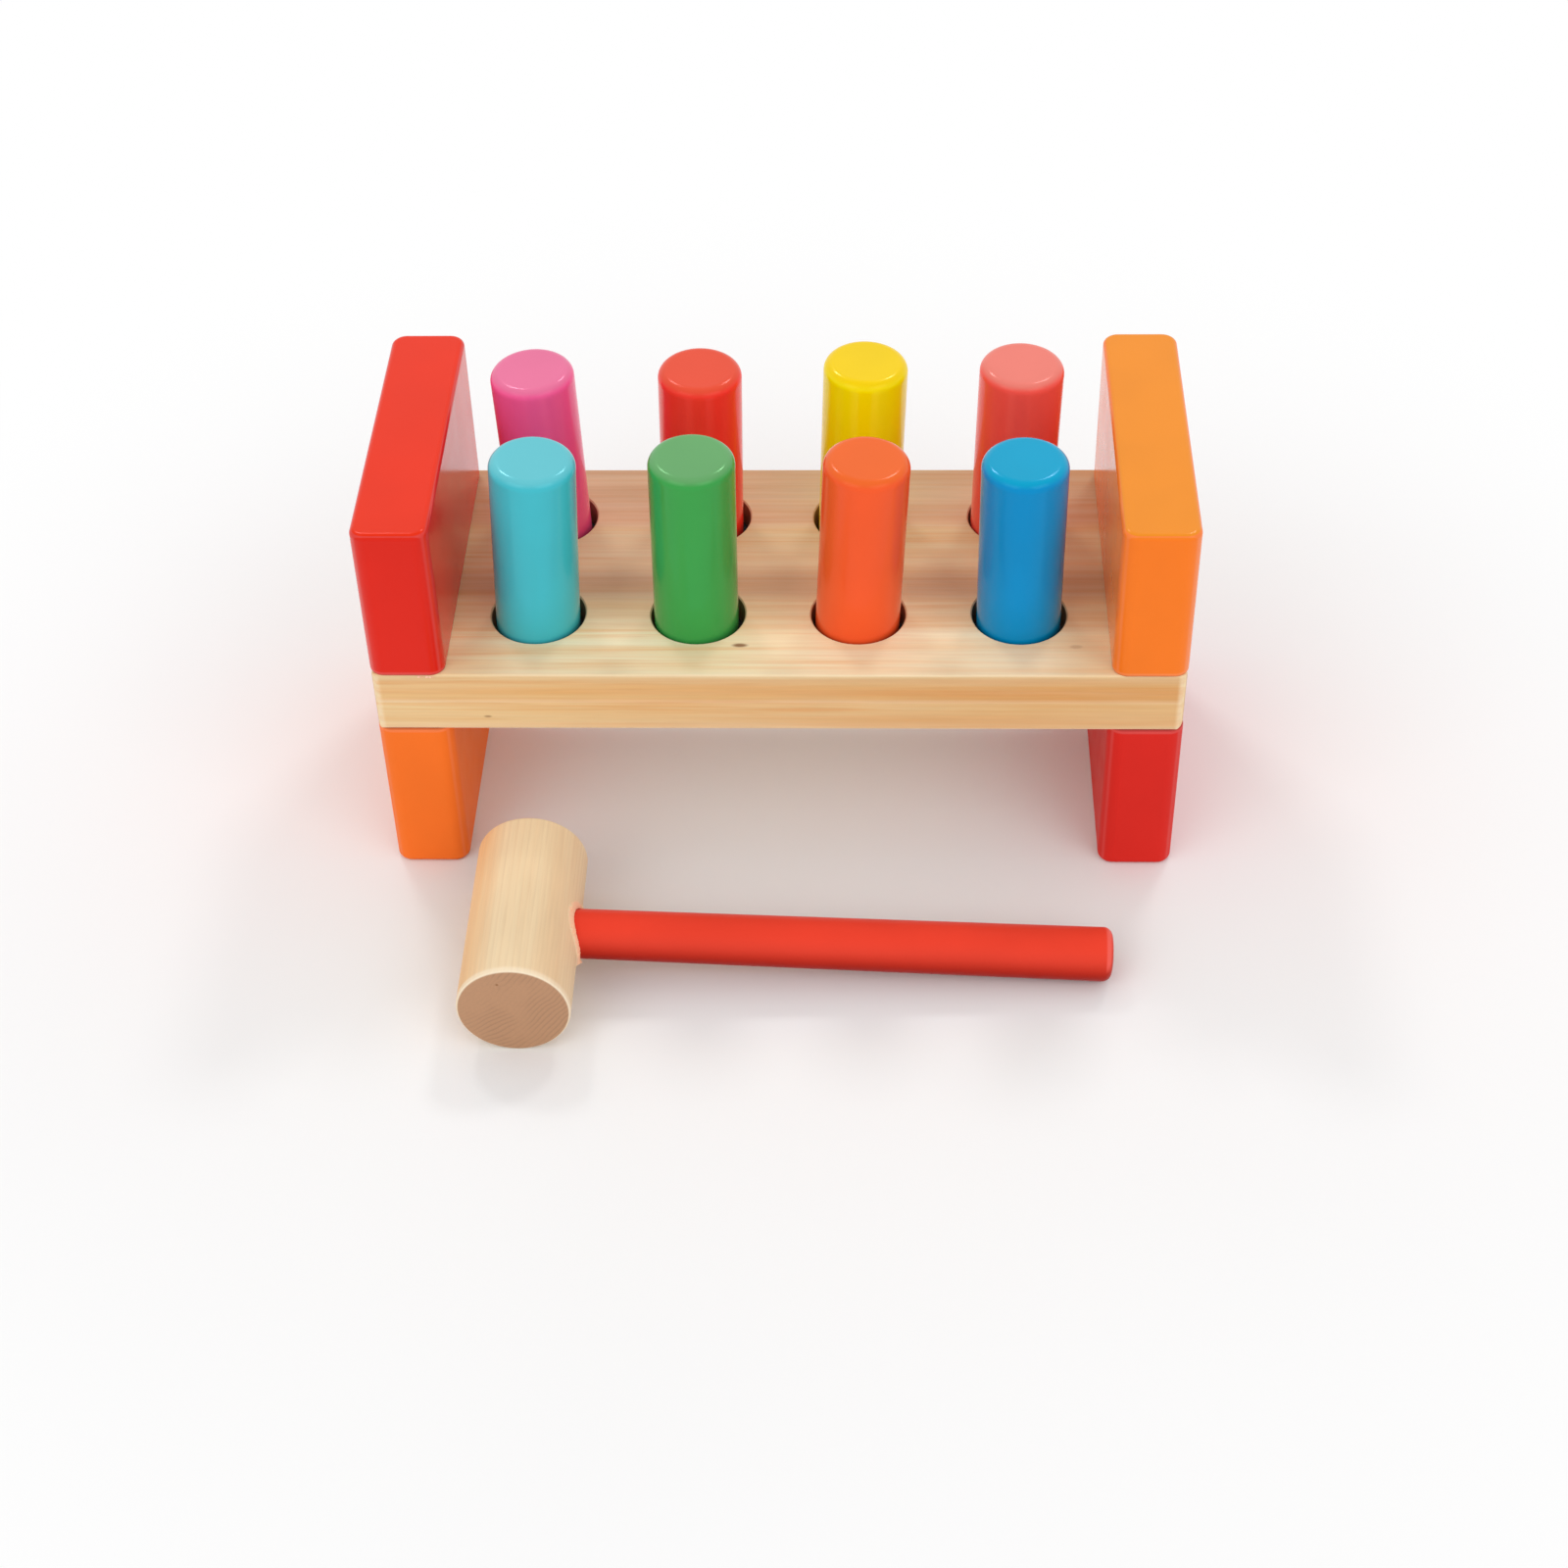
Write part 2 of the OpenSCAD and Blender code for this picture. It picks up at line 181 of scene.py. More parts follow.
class Graph:
    """Node tree of one material. Most methods add a node and give its output."""

    def __init__(self, name):
        self.material = bpy.data.materials.new(name)
        self.material.use_nodes = True
        self.tree = self.material.node_tree
        self.shader = self.tree.nodes["Principled BSDF"]
        coordinates = self.add("ShaderNodeTexCoord")
        self.place = coordinates.outputs["Object"]
        self.facing = coordinates.outputs["Normal"]

    def put(self, socket, value):
        """Links an output to a socket, or sets the socket to a plain value."""
        if isinstance(value, bpy.types.NodeSocket):
            self.tree.links.new(value, socket)
        else:
            socket.default_value = value

    def add(self, kind, inputs=None, **settings):
        """New node, with its settings made and its inputs linked or set."""
        node = self.tree.nodes.new(kind)
        for key, value in settings.items():
            setattr(node, key, value)
        for key, value in (inputs or {}).items():
            self.put(node.inputs[key], value)
        return node

    def math(self, operation, a, b=0.0):
        return self.add("ShaderNodeMath", {0: a, 1: b}, operation=operation).outputs[0]

    def vector(self, operation, a, b=(0.0, 0.0, 0.0)):
        node = self.add("ShaderNodeVectorMath", {0: a, 1: b}, operation=operation)
        return node.outputs["Value" if operation == "LENGTH" else "Vector"]

    def times(self, vector, factor):
        """Vector scaled by one factor, or by three, one for each axis."""
        factors = factor if isinstance(factor, tuple) else (factor,) * 3
        return self.vector("MULTIPLY", vector, factors)

    def along(self, axis, vector=None):
        """Part of a vector along an axis, or of the place on the piece."""
        parts = self.add("ShaderNodeSeparateXYZ", {0: self.place if vector is None else vector})
        return parts.outputs[axis]

    def across(self, axis, vector):
        """Vector without its part along an axis."""
        return self.times(vector, by_axis(axis, 0.0, 1.0))

    def drawn_out(self, axis, share, place=None):
        """Place scaled along an axis, so that a noise at it is drawn out that way like grain."""
        return self.times(self.place if place is None else place, by_axis(axis, share, 1.0))

    def turn_to(self, axis):
        """How squarely the surface faces along an axis, either way, from 0 to 1."""
        return self.math("ABSOLUTE", self.along(axis, self.facing))

    def noise(self, place, scale, detail=2.0, roughness=0.5):
        """Soft noise round 0.5, with about as many waves in a metre as the scale says."""
        inputs = {"Vector": place, "Scale": scale, "Detail": detail, "Roughness": roughness}
        return self.add("ShaderNodeTexNoise", inputs).outputs[0]

    def drift(self, place, scale, reach):
        """Vector noise that wanders about half of reach each way."""
        node = self.add("ShaderNodeTexNoise", {"Vector": place, "Scale": scale, "Detail": 2.0})
        return self.times(self.vector("SUBTRACT", node.outputs[1], (0.5, 0.5, 0.5)), reach)

    def ease(self, value, low, high, start=0.0, end=1.0):
        """Smooth step from start to end, while the value goes from low to high."""
        inputs = {"Value": value, "From Min": low, "From Max": high, "To Min": start, "To Max": end}
        return self.add("ShaderNodeMapRange", inputs, interpolation_type="SMOOTHSTEP").outputs[0]

    def ramp(self, value, *stops):
        """Tone through the stops, each a place from 0 to 1 and a grey level or a colour."""
        node = self.add("ShaderNodeValToRGB", {0: value})
        elements = node.color_ramp.elements
        while len(elements) < len(stops):
            elements.new(0.5)
        for element, (place, tone) in zip(elements, stops):
            element.position = place
            element.color = linear(tone) if isinstance(tone, str) else (tone, tone, tone, 1.0)
        return node.outputs[0]

    def bands(self, value, stops):
        """Colour through the stops, each a place in millimetres and a colour."""
        low, high = stops[0][0], stops[-1][0]
        share = self.math("DIVIDE", self.math("SUBTRACT", value, low * MM), (high - low) * MM)
        return self.ramp(share, *[((place - low) / (high - low), code) for place, code in stops])

    def mix(self, factor, a, b, blend="MIX"):
        inputs = {0: factor, 6: a, 7: b}
        return self.add("ShaderNodeMix", inputs, data_type="RGBA", blend_type=blend).outputs[2]

    def tinted(self, colour, tint, factor=1.0):
        """Colour multiplied by another, as far as the factor says."""
        return self.mix(factor, colour, tint, "MULTIPLY")

    def shaded(self, colour, level):
        """Colour darkened to a level of its light."""
        grey = self.add("ShaderNodeCombineColor", {i: level for i in range(3)}).outputs[0]
        return self.tinted(colour, grey)

    def bump(self, height, distance, normal=None):
        node = self.add("ShaderNodeBump", {"Height": height, "Distance": distance})
        if normal is not None:
            self.put(node.inputs["Normal"], normal)
        return node.outputs[0]

    def finish(self, colour, roughness, normal, gloss=0.5, tint=WHITE):
        """Sets the shader and gives the material."""
        self.put(self.shader.inputs["Base Color"], colour)
        self.put(self.shader.inputs["Roughness"], roughness)
        self.put(self.shader.inputs["Normal"], normal)
        self.put(self.shader.inputs["Specular IOR Level"], gloss)
        self.put(self.shader.inputs["Specular Tint"], tint)
        return self.material


class Lacquer(Graph):
    """Sprayed satin lacquer, level enough that the sanded grain hardly shows."""

    def __init__(self, name, side, top, grain):
        """Side is the tone of the upright faces, and top of those that look up. Where they differ, the top
        is painted light on one lacquer.
        """
        super().__init__(name)
        self.grain = grain
        self.side = linear(side)
        self.up = self.along(Z, self.facing)
        # Painted light: the tone turns from the side's to the top's as the surface looks up
        self.colour = self.mix(self.ease(self.up, 0.35, 0.92), self.side, linear(top))

    def paint_shade_below(self, low):
        """Painted shade on the faces that look down, and a painted highlight on the upper side of a stick's
        rounded end.
        """
        # Painted shade on the faces that look down
        self.colour = self.mix(self.ease(self.up, -0.5, 0.9), linear(low), self.colour)
        end = self.turn_to(self.grain)
        # Painted highlight: paler on the upper side of the stick's rounded end
        end_highlight = self.math("MULTIPLY", self.ease(end, 0.1, 0.35), self.ease(end, 0.6, 0.9, 1.0, 0.0))
        end_highlight = self.math("MULTIPLY", end_highlight, self.ease(self.up, -0.1, 0.4))
        self.colour = self.mix(end_highlight, self.colour, paler(self.side, 0.055))

    def paint_edge_light_and_seam_shade(self, seam):
        """Painted highlights on a block's rounded edges and in a band along the seam with the deck, and
        painted shade with dirt right at the seam.
        """
        shade_and_dirt_line, highlight_line = (0.1 * MM, 0.7 * MM), (0.9 * MM, 1.6 * MM)
        flat = self.math("MAXIMUM", self.turn_to(X), self.turn_to(Y))
        flat = self.ease(self.math("MAXIMUM", flat, self.turn_to(Z)), 0.72, 0.84)
        away = self.math("ABSOLUTE", self.math("SUBTRACT", self.along(Z), seam))
        # Painted highlight on the rounded edges
        self.colour = self.mix(flat, paler(self.side, 0.035), self.colour)
        # Painted highlight in a band along the seam
        self.colour = self.mix(self.ease(away, *highlight_line), paler(self.side, 0.05), self.colour)
        # Painted shade, with dirt, right at the seam
        self.colour = self.shaded(self.colour, self.ease(away, *shade_and_dirt_line, 0.68, 1.0))

    def sprayed(self, sheen=SHINY):
        """Material with a faint mottle, smears, peel and fibres in the lacquer."""
        gloss, dull = sheen
        peel_height, fibre_height = 0.003 * MM, 0.002 * MM
        mottle = self.ease(self.noise(self.place, scale=30.0, detail=3.0), 0.3, 0.7, 0.95, 1.0)
        smears = self.noise(self.place, scale=90.0, detail=4.0)
        roughness = self.ease(smears, 0.3, 0.7, dull, dull + 0.05)
        peel = self.noise(self.place, scale=160.0)
        fibres = self.noise(self.drawn_out(self.grain, 0.04), scale=700.0, detail=3.0, roughness=0.6)
        normal = self.bump(peel, peel_height, self.bump(fibres, fibre_height))
        tint = [0.25 + 0.75 * c / max(self.side[:3]) for c in self.side[:3]] + [1.0]
        return self.finish(self.shaded(self.colour, mottle), roughness, normal, gloss, tint)


class Wood(Graph):
    """Bare wood with growth rings round a pith line, so that faces and end grain agree."""

    def __init__(self, name, grain, pith, ring_gap, tones, knots=()):
        super().__init__(name)
        self.grain = grain
        self.early, self.late, self.streak, self.end_grain = (linear(code) for code in tones)
        self.grained = self.drawn_out(grain, 0.05)
        sway = self.drift(self.grained, scale=45.0, reach=9.0 * MM)
        self.bent = self.vector("ADD", self.place, sway)
        self.fibres = self.noise(self.grained, scale=1100.0, detail=3.0, roughness=0.62)
        self.streaks = self.noise(self.grained, scale=130.0, detail=3.0, roughness=0.6)
        self.knotted = 0.0
        self.late_wood = self.growth_rings(pith, ring_gap, knots)

    def growth_rings(self, pith, ring_gap, knots):
        """How far the wood is dark late wood. The rings bend round the knots."""
        spokes = self.across(self.grain, self.vector("SUBTRACT", self.bent, pith))
        rings = self.math("DIVIDE", self.vector("LENGTH", spokes), ring_gap)
        for place, reach_along, reach_across, strength in knots:
            shrink = by_axis(self.grain, 1.0 / reach_along, 1.0 / reach_across)
            from_knot = self.times(self.vector("SUBTRACT", self.place, place), shrink)
            away = self.vector("LENGTH", from_knot)
            # Away is 1 at the knot's reach. The rings bend by up to 0.8 of their gap
            rings = self.math("ADD", rings, self.ease(away, 0.0, 5.0, 0.8, 0.0))
            dark = self.ease(away, 0.4, 1.2, strength, 0.0)
            self.knotted = self.math("MAXIMUM", self.knotted, dark)
        late_wood = self.ramp(self.math("FRACT", rings), *RING_PROFILE)
        gaps = self.ease(self.noise(self.grained, scale=90.0), 0.35, 0.65, 0.1, 1.0)
        return self.math("MULTIPLY", late_wood, gaps)

    def ringed(self, strength):
        """Tone of the long faces, with rings of that strength and streaks over them."""
        colour = self.mix(self.math("MULTIPLY", self.late_wood, strength), self.early, self.late)
        return self.mix(self.ease(self.streaks, 0.42, 0.72, 0.0, 0.75), colour, self.streak)

    def sawn(self, colour):
        """Tone of the long faces, with end grain and fine fibres added."""
        dark_rings = [0.72 * c for c in self.end_grain]
        end_rings = self.mix(self.math("MULTIPLY", self.late_wood, 0.8), self.end_grain, dark_rings)
        colour = self.mix(self.ease(self.turn_to(self.grain), 0.75, 0.97), colour, end_rings)
        return self.shaded(colour, self.ease(self.fibres, 0.25, 0.75, 0.94, 1.0))

    def sanded(self, colour):
        """Material with pores, knots and a faint relief over the sawn tones."""
        ring_height, fibre_height = 0.012 * MM, 0.02 * MM
        pores = self.noise(self.drawn_out(self.grain, 0.03), scale=2600.0, detail=1.0)
        colour = self.mix(self.ease(pores, 0.66, 0.8, 0.0, 0.2), colour, self.late)
        colour = self.mix(self.knotted, colour, linear(KNOT_TONE))
        roughness = self.ease(self.fibres, 0.2, 0.8, 0.46, 0.58)
        normal = self.bump(self.late_wood, ring_height, self.bump(self.fibres, fibre_height))
        return self.finish(colour, roughness, normal, gloss=0.3)


class DeckPine(Wood):
    """Pine of a deck board, in straight bands that wander a little along it."""

    def __init__(self, name, pith, ring_gap, tones, knots):
        super().__init__(name, X, pith, ring_gap, tones, knots)
        self.wander = self.drift(self.drawn_out(X, 0.025), scale=60.0, reach=5.0 * MM)
        depth_place = self.vector("ADD", self.place, self.wander)
        self.depth = self.math("SUBTRACT", self.along(Y, depth_place), deck_low.y)
        self.from_end = self.math("SUBTRACT", deck_high.x, self.math("ABSOLUTE", self.along(X)))

    def top(self):
        """Bands by depth, partly grain and partly painted shadow behind the rows of pegs, and a tint beside
        the blocks.
        """
        near_block = self.ease(self.from_end, 20 * MM, 48 * MM, 1.0, 0.0)
        return self.tinted(self.bands(self.depth, TOP_GRAIN_AND_SHADOW_BANDS), linear(NEAR_BLOCK_TINT), near_block)

    def front(self, bottom, stops):
        """Bands by the height over the board's bottom, with paler wood at its two ends."""
        height_place = self.vector("ADD", self.place, self.times(self.wander, 0.6))
        height = self.math("SUBTRACT", self.along(Z, height_place), bottom)
        colour = self.tinted(self.bands(height, stops), self.bands(self.along(X), FRONT_TINTS))
        near_end = self.ease(self.from_end, 1.4 * MM, 3.0 * MM, 0.6, 0.0)
        return self.mix(near_end, colour, linear(FRONT_END_TONE))

    def lined(self, colour):
        """Thin lines, streaks and wisps along the grain."""
        thin = self.noise(self.drawn_out(X, 0.02), scale=420.0, roughness=0.55)
        colour = self.tinted(colour, linear(THIN_LINE_TINT), self.ease(thin, 0.3, 0.7, 0.4, 0.0))
        colour = self.mix(self.ease(self.streaks, 0.4, 0.75, 0.0, 0.35), colour, self.streak)
        long_place = self.drawn_out(X, 0.03, self.bent)
        wisps = self.noise(long_place, scale=240.0, detail=3.0, roughness=0.65)
        return self.tinted(colour, linear(WISP_TINT), self.ease(wisps, 0.56, 0.72, 0.0, 0.4))

    def paint_light_below(self, colour):
        # Painted light from below: faces that look down are made paler
        down = self.math("MULTIPLY", self.along(Z, self.facing), -1.0)
        return self.mix(self.ease(down, 0.15, 0.6, 0.0, 0.6), colour, linear(LIT_UNDERSIDE_TONE))

    def shade_in_holes(self, colour):
        """Painted shade on the walls in the holes: upright faces that lie inside the deck's outline."""
        front_margin, back_margin, end_margin = 1.5 * MM, 2.0 * MM, 1.5 * MM
        back = deck_high.y - deck_low.y - back_margin
        from_front = self.math("SUBTRACT", self.depth, front_margin)
        inside = self.math("MINIMUM", from_front, self.math("SUBTRACT", back, self.depth))
        inside = self.math("MINIMUM", inside, self.math("SUBTRACT", self.from_end, end_margin))
        upright = self.ease(self.vector("LENGTH", self.across(Z, self.facing)), 0.6, 0.95)
        wall = self.math("MULTIPLY", upright, self.ease(inside, 0.0, 1.0 * MM))
        return self.mix(self.math("MULTIPLY", wall, 0.75), colour, linear(HOLE_SHADE_TONE))


def deck_pine(name, node, front_bands, **growth):
    """Pine of one of the deck's two boards."""
    pine = DeckPine(name, **growth)
    front = pine.front(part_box(node)[0].z, front_bands)
    colour = pine.mix(pine.ease(pine.turn_to(Y), 0.5, 0.95), pine.top(), front)
    colour = pine.sawn(pine.paint_light_below(pine.lined(colour)))
    return pine.sanded(pine.shade_in_holes(colour))


def head_beech():
    """Beech of the mallet's turned head, with painted light: darker towards its front end and on its left
    side, and a painted highlight round its ends.
    """
    beech = Wood("mallet_head_beech", Y, (-108 * MM, 0.0, 52 * MM), 1.5 * MM, HEAD_TONES, HEAD_SPECKS)
    from_front = beech.math("SUBTRACT", beech.along(Y), head_low.y)
    # Painted light: darker towards the head's front end, lighter towards its back
    colour = beech.shaded(beech.ringed(0.28), beech.ease(from_front, 0.0, 50 * MM, 0.86, 1.0))
    # Painted shade: darker and pinker on the faces that look left
    left = beech.math("MULTIPLY", beech.along(X, beech.facing), -1.0)
    colour = beech.tinted(colour, linear(HEAD_LEFT_SHADE_TINT), beech.ease(left, 0.3, 0.9))
    # Painted highlight round the ends and along the front rim
    front_rim = beech.ease(from_front, 1.2 * MM, 2.6 * MM, 0.7, 0.0)
    rim_highlight = beech.math("MAXIMUM", beech.ease(beech.turn_to(Y), 0.15, 0.6), front_rim)
    return beech.sanded(beech.sawn(beech.mix(rim_highlight, colour, linear(HEAD_RIM_HIGHLIGHT_TONE))))


def dowel_birch():
    birch = Wood("dowel_birch", Z, (-200 * MM, 0.0, 0.0), 1.2 * MM, DOWEL_TONES)
    return birch.sanded(birch.sawn(birch.ringed(0.5)))


def ring_rubber():
    """Black rubber with a faint bloom."""
    rubber = Graph("grip_ring_rubber")
    plain, bloomed = (linear(code) for code in RUBBER_TONES)
    bloom = rubber.ease(rubber.noise(rubber.place, scale=260.0, detail=3.0), 0.4, 0.75, 0.0, 0.6)
    normal = rubber.bump(rubber.noise(rubber.place, scale=900.0), 0.03 * MM)
    return rubber.finish(rubber.mix(bloom, plain, bloomed), roughness=0.62, normal=normal)


def torn_wood(bore):
    """Raw fibres round the bore, tinged by the handle's lacquer beside it."""
    wood = Graph("bore_fibre_wood")
    stained, clean = (linear(code) for code in FIBRE_TONES)
    stain_edge, ragged = (1.3 * MM, 2.6 * MM), 0.4 * MM
    spokes = wood.vector("SUBTRACT", wood.place, tuple(bore.centre))
    spokes = wood.vector("CROSS_PRODUCT", spokes, tuple(bore.out))
    away = wood.math("SUBTRACT", wood.vector("LENGTH", spokes), bore.inner)
    uneven = wood.noise(wood.place, scale=700.0, detail=3.0)
    away = wood.math("ADD", away, wood.ease(uneven, 0.2, 0.8, -ragged, ragged))
    colour = wood.mix(wood.ease(away, *stain_edge), stained, clean)
    fibres = wood.noise(wood.drawn_out(Y, 0.08), scale=1600.0, detail=3.0)
    return wood.finish(colour, roughness=0.7, normal=wood.bump(fibres, 0.04 * MM), gloss=0.3)


def chipped_paint():
    """Flakes of lacquer that still hold pale wood."""
    paint = Graph("chip_lacquer")
    lacquered, bare = (linear(code) for code in CHIP_TONES)
    share = paint.ease(paint.noise(paint.place, scale=1500.0), 0.4, 0.6)
    normal = paint.bump(paint.noise(paint.place, scale=3000.0), 0.03 * MM)
    return paint.finish(paint.mix(share, lacquered, bare), roughness=0.55, normal=normal)


def set_finish(node, material):
    """Gives a CAD node its material."""
    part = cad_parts[node]
    part.data.materials.clear()
    part.data.materials.append(material)


def finish_blocks():
    """Lacquers the end blocks. The upper ones shine, and each has painted highlights on its edges and
    painted shade with dirt where it meets the deck.
    """
    for node, (slot, side, top) in BLOCKS.items():
        low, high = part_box(node)
        upper = node.startswith("upper")
        paint = Lacquer(node + "_lacquer", side, top, Y)
        paint.paint_edge_light_and_seam_shade(low.z if upper else high.z)
        set_finish(node, paint.sprayed(SHINY if upper else DULL_BLOCK))


def finish_pegs():
    for node, (slot, side, top) in PEGS.items():
        set_finish(node, Lacquer(node + "_lacquer", side, top, Z).sprayed())


def finish_handle():
    paint = Lacquer("handle_red_lacquer", *HANDLE_TONES, X)
    paint.paint_shade_below(HANDLE_SHADED_UNDERSIDE_TONE)
    set_finish("mallet_handle", paint.sprayed(DULL_HANDLE))


def finish_grip_rings():
    rubber = ring_rubber()
    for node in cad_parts:
        if node.startswith("grip_ring"):
            set_finish(node, rubber)


def finish_deck():
    """Two boards from different logs, whose rings bow away from each other."""
    upper = deck_pine(
        "upper_board_pine", "deck_upper_board", UPPER_FRONT_BANDS,
        pith=(0.0, 45 * MM, -15 * MM), ring_gap=3.4 * MM, tones=UPPER_BOARD_TONES, knots=TOP_KNOTS,
    )
    lower = deck_pine(
        "lower_board_pine", "deck_lower_board", LOWER_FRONT_BANDS,
        pith=(0.0, 20 * MM, 165 * MM), ring_gap=3.9 * MM, tones=LOWER_BOARD_TONES, knots=FRONT_KNOTS,
    )
    set_finish("deck_upper_board", upper)
    set_finish("deck_lower_board", lower)


def new_piece(name, vertices, faces, body, material):
    """Mesh piece that rides on a body, with the material given."""
    mesh = bpy.data.meshes.new(name)
    mesh.from_pydata(vertices, [], faces)
    mesh.materials.append(material)
    mesh.validate()
    piece = bpy.data.objects.new(name, mesh)
    bpy.context.scene.collection.objects.link(piece)
    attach(piece, body)


class Bore:
    """Place where the handle leaves the mallet's head, dipping towards its tip on the floor."""

    # Just clear of the handle, which is 14.8 mm thick here
    inner = 7.44 * MM
    tip_edge_radius = 2.6 * MM

    def __init__(self):
        handle_low, handle_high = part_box("mallet_handle")
        self.centre = (head_low + head_high) / 2
        self.head_radius = (head_high.z - head_low.z) / 2
        tip_radius = (handle_high.y - handle_low.y) / 2
        reach = handle_high.x - self.centre.x - self.tip_edge_radius
        tilt = math.atan((self.head_radius - tip_radius) / reach)
        self.out = Vector((math.cos(tilt), 0.0, -math.sin(tilt)))
        self.side = Vector((0.0, 1.0, 0.0))
        self.top = self.out.cross(self.side)

    def on_head(self, radius, turn, lift):
        """Point beside the handle, that far above the head's round surface."""
        along, across = radius * math.cos(turn), radius * math.sin(turn)
        rise = math.sqrt(self.head_radius**2 - across**2)
        surface = self.centre + self.out * rise + self.side * along + self.top * across
        normal = (self.out * rise + self.top * across) / self.head_radius
        return surface + normal * lift


def torn_lip(bore, chance):
    """Ragged ring round the handle, widest towards the floor and the front, with two teeth."""
    steps = 220
    sunk = -0.3 * MM
    # In degrees round the bore: where the tear is widest, the two teeth, and how far each reaches
    widest = 235
    teeth = (221, 240)
    tooth_reach = 5.0
    # Strength, number of crests round the bore, and shift of each wave
    waves = [(chance.uniform(0.4, 1.0), n, chance.uniform(0, math.tau)) for n in (3, 5, 8, 13, 21, 34)]
    vertices = []
    for i in range(steps):
        turn = math.tau * i / steps
        swell = abs(sum(strength * math.sin(n * turn + shift) for strength, n, shift in waves)) / len(waves)
        ragged = chance.uniform(0.0, 1.0) ** 3
        tear = 0.5 + 0.5 * math.cos(turn - math.radians(widest))
        tooth = sum(max(0.0, 1.0 - abs(math.degrees(turn) - place) / tooth_reach) for place in teeth)
        # In millimetres: the least height and width, and what each unevenness adds
        height = (0.45 + 0.3 * tear + 0.35 * swell + 0.4 * ragged * tear + 1.1 * tooth) * MM
        width = (2.1 + 0.5 * tear + 0.5 * swell + 0.2 * ragged) * MM
        # Distance from the bore and lift of each corner, from the handle out to the head
        outline = (
            (0.0, sunk), (0.0, 0.8 * height), (0.25 * width, height),
            (0.6 * width, 0.5 * height), (width, 0.02 * MM), (width, sunk),
        )
        vertices += [bore.on_head(bore.inner + away, turn, lift) for away, lift in outline]
    rows = len(vertices) // steps
    faces = []
    for i in range(steps):
        this, after = i * rows, (i + 1) % steps * rows
        for j in range(rows):
            k = (j + 1) % rows
            faces.append((this + j, this + k, after + k, after + j))
    return vertices, faces


def splinters(bore, chance, first):
    """Slivers that lift off the head along its grain. First is the number of the first vertex."""
    count = 26
    root_depth = 0.05 * MM
    # Corners of a sliver's faces: 0 and 1 are at its root, 2 is its ridge, and 3 is its tip
    sliver = ((0, 1, 2), (0, 3, 1), (1, 3, 2), (2, 3, 0))
    vertices, faces = [], []
    for _ in range(count):
        turn = chance.choice((0.0, math.pi)) + chance.gauss(0.0, 0.75)
        length = chance.uniform(0.8, 2.6) * MM
        width = chance.uniform(0.2, 0.45) * MM
        lift = chance.uniform(0.3, 0.9) * MM
        forward = 1.0 if math.cos(turn) > 0 else -1.0
        root = bore.on_head(bore.inner + chance.uniform(0.2, 2.0) * MM, turn, 0.0)
        normal = root - bore.centre
        normal.y = 0.0
        normal.normalize()
        across = normal.cross(bore.side)
        base = first + len(vertices)
        faces += [tuple(base + corner for corner in face) for face in sliver]
        vertices += [
            root - across * width - normal * root_depth,
            root + across * width - normal * root_depth,
            root + normal * lift,
            root + bore.side * forward * length + normal * lift * chance.uniform(0.1, 0.8),
        ]
    return vertices, faces


def bore_fibres():
    """Torn lip and splinters round the mallet's bore, where the drill left the head."""
    bore = Bore()
    chance = random.Random(11)
    vertices, faces = torn_lip(bore, chance)
    more_vertices, more_faces = splinters(bore, chance, len(vertices))
    vertices += more_vertices
    faces += more_faces
    new_piece("bore_fibres", vertices, faces, "mallet", torn_wood(bore))


def paint_chips():
    """Small flakes on the deck's rounded front edge, under the upper red block."""
    edge_radius = 0.9 * MM
    sunk, raised = -0.12 * MM, 0.1 * MM
    flatness = 0.55
    sides = 9
    right = Vector((1.0, 0.0, 0.0))
    chance = random.Random(5)
    vertices, faces = [], []
    for place, size in CHIPS:
        slope = math.radians(chance.uniform(50, 80))
        normal = Vector((0.0, -math.sin(slope), math.cos(slope)))
        down = right.cross(normal)
        edge = Vector((place * MM, deck_low.y + edge_radius, deck_high.z - edge_radius))
        centre = edge + normal * edge_radius
        outline = [(size * MM * chance.uniform(0.6, 1.2), math.tau * i / sides) for i in range(sides)]
        lower = range(len(vertices), len(vertices) + sides)
        upper = range(lower.stop, lower.stop + sides)
        for lift in (sunk, raised):
            for radius, turn in outline:
                across = right * (radius * math.cos(turn)) + down * (flatness * radius * math.sin(turn))
                vertices.append(centre + across + normal * lift)
        faces += [tuple(reversed(lower)), tuple(upper)]
        for i in range(sides):
            j = (i + 1) % sides
            faces.append((lower[i], lower[j], upper[j], upper[i]))
    new_piece("paint_chips", vertices, faces, "bench", chipped_paint())


def seen_by_eye(tree):
    """1 for camera, glossy and transmission rays, and 0 for the light on the object."""
    path = tree.nodes.new("ShaderNodeLightPath")
    seen = path.outputs["Is Camera Ray"]
    for ray in ("Is Glossy Ray", "Is Transmission Ray"):
        either = tree.nodes.new("ShaderNodeMath")
        either.operation = "MAXIMUM"
        tree.links.new(seen, either.inputs[0])
        tree.links.new(path.outputs[ray], either.inputs[1])
        seen = either.outputs[0]
    return seen


def floor_paint():
    """Pale grey near the toy, where it keeps the shadow, and white further out."""
    paint = Graph("pale_floor")
    level = paint.ease(paint.noise(paint.place, scale=3.0), 0.3, 0.7, 0.86, 0.88)
    normal = paint.bump(paint.noise(paint.place, scale=400.0), 0.02 * MM)
    paint.finish(paint.shaded(WHITE, level), roughness=0.9, normal=normal)
    white = paint.add("ShaderNodeEmission", {"Color": WHITE, "Strength": 1.0})
    far = paint.ease(paint.vector("LENGTH", paint.place), *GREY_TO_WHITE)
    far = paint.math("MULTIPLY", far, seen_by_eye(paint.tree))
    both = paint.add("ShaderNodeMixShader", {0: far, 1: paint.shader.outputs[0], 2: white.outputs[0]})
    paint.put(paint.tree.nodes["Material Output"].inputs["Surface"], both.outputs[0])
    return paint.material


